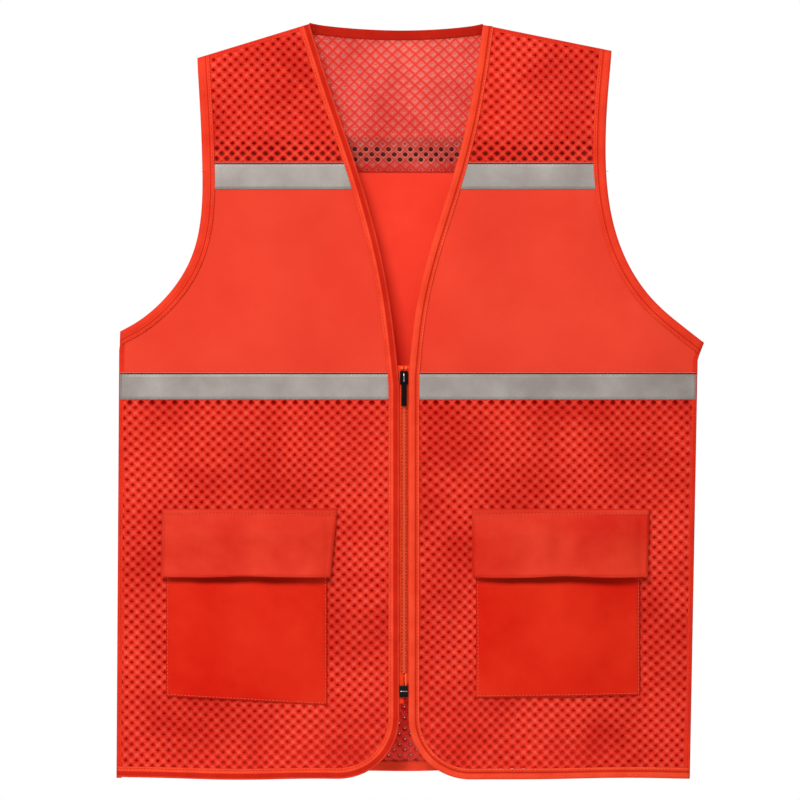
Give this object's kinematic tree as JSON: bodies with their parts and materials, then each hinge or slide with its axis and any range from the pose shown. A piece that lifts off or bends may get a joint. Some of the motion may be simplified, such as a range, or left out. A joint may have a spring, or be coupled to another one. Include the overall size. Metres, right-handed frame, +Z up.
{
  "type": "safety vest",
  "caption": "Sleeveless zip-front mesh work vest with plain chest, reflective tapes across chest and waist, bound edges and two flapped patch pockets.",
  "frame": {"origin": "midway between the two neck points of the shoulder seams, at their height, where a hanger carries the vest", "axes": "+Z up, the front faces -Y, the wearer's right is at -X; the zip runs down the front at x = 0"},
  "size_m": [0.5648, 0.0484, 0.726],
  "materials": {
    "mesh_cloth": "open hexagonal-hole knitted mesh",
    "plain_cloth": "smooth knitted polyester",
    "binding_cloth": "folded bias binding, stitched",
    "seam_cloth": "overlocked seam allowance",
    "pocket_cloth": "woven polyester",
    "reflective_tape": "grey retroreflective tape, satin",
    "hook_and_loop": "hook-and-loop, matte",
    "zip_tape": "woven zip tape",
    "zip_coil": "nylon coil and stops",
    "black_slider": "black enamel",
    "black_plastic": "black moulded plastic"
  },
  "bodies": {
    "vest_body": {"right_yoke_mesh": "mesh_cloth", "right_chest_panel": "plain_cloth", "right_lower_mesh": "mesh_cloth", "right_chest_tape": "reflective_tape", "right_waist_tape": "reflective_tape", "right_neck_edge_binding": "binding_cloth", "right_hem_binding": "binding_cloth", "right_armhole_binding": "binding_cloth", "right_shoulder_seam": "seam_cloth", "right_side_seam": "seam_cloth", "right_pocket_bag": "pocket_cloth", "right_pocket_loop_patch": "hook_and_loop", "right_flap_seam": "pocket_cloth", "left_yoke_mesh": "mesh_cloth", "left_chest_panel": "plain_cloth", "left_lower_mesh": "mesh_cloth", "left_chest_tape": "reflective_tape", "left_waist_tape": "reflective_tape", "left_neck_edge_binding": "binding_cloth", "left_hem_binding": "binding_cloth", "left_armhole_binding": "binding_cloth", "left_shoulder_seam": "seam_cloth", "left_side_seam": "seam_cloth", "left_pocket_bag": "pocket_cloth", "left_pocket_loop_patch": "hook_and_loop", "left_flap_seam": "pocket_cloth", "back_yoke_mesh": "mesh_cloth", "back_chest_panel": "plain_cloth", "back_lower_mesh": "mesh_cloth", "back_chest_tape": "reflective_tape", "back_waist_tape": "reflective_tape", "back_neck_binding": "binding_cloth", "back_hem_binding": "binding_cloth"},
    "right_front_edge": {"right_chest_panel_edge": "plain_cloth", "right_waist_tape_end": "reflective_tape", "right_lower_mesh_edge": "mesh_cloth", "right_front_edge_binding": "binding_cloth", "right_zip_tape": "zip_tape", "right_zip_coil": "zip_coil", "right_top_stop": "zip_coil", "retainer_box": "black_plastic"},
    "left_front_edge": {"left_chest_panel_edge": "plain_cloth", "left_waist_tape_end": "reflective_tape", "left_lower_mesh_edge": "mesh_cloth", "left_front_edge_binding": "binding_cloth", "left_zip_tape": "zip_tape", "left_zip_coil": "zip_coil", "left_top_stop": "zip_coil", "insertion_pin": "zip_coil"},
    "zip_slider": {"slider_body": "black_slider"},
    "zip_pull": {"slider_pull": "black_slider"},
    "right_flap": {"right_pocket_flap": "pocket_cloth", "right_flap_hook_patch": "hook_and_loop"},
    "left_flap": {"left_pocket_flap": "pocket_cloth", "left_flap_hook_patch": "hook_and_loop"}
  },
  "joints": [
    {"name": "right_front_edge_fold", "type": "hinge", "parent": "vest_body", "child": "right_front_edge", "pos_m": [-0.045, -0.01044, -0.139], "axis": [-0.029, -0.0181, -0.9994], "range_deg": [0, 95]},
    {"name": "left_front_edge_fold", "type": "hinge", "parent": "vest_body", "child": "left_front_edge", "pos_m": [0.045, -0.01044, -0.139], "axis": [-0.029, 0.0181, 0.9994], "range_deg": [0, 95]},
    {"name": "zip_slide", "type": "slide", "parent": "right_front_edge", "child": "zip_slider", "axis": [0, 0.0193, 0.9998], "range_m": [-0.286, 0]},
    {"name": "pull_swing", "type": "hinge", "parent": "zip_slider", "child": "zip_pull", "pos_m": [0, -0.01813, -0.33787], "axis": [-1, 0, 0], "range_deg": [0, 150]},
    {"name": "right_flap_lift", "type": "hinge", "parent": "vest_body", "child": "right_flap", "pos_m": [-0.148, -0.01561, -0.468], "axis": [-0.9983, 0.0575, 0], "range_deg": [0, 125]},
    {"name": "left_flap_lift", "type": "hinge", "parent": "vest_body", "child": "left_flap", "pos_m": [0.1505, -0.01542, -0.468], "axis": [-0.9983, -0.0585, 0], "range_deg": [0, 125]}
  ]
}
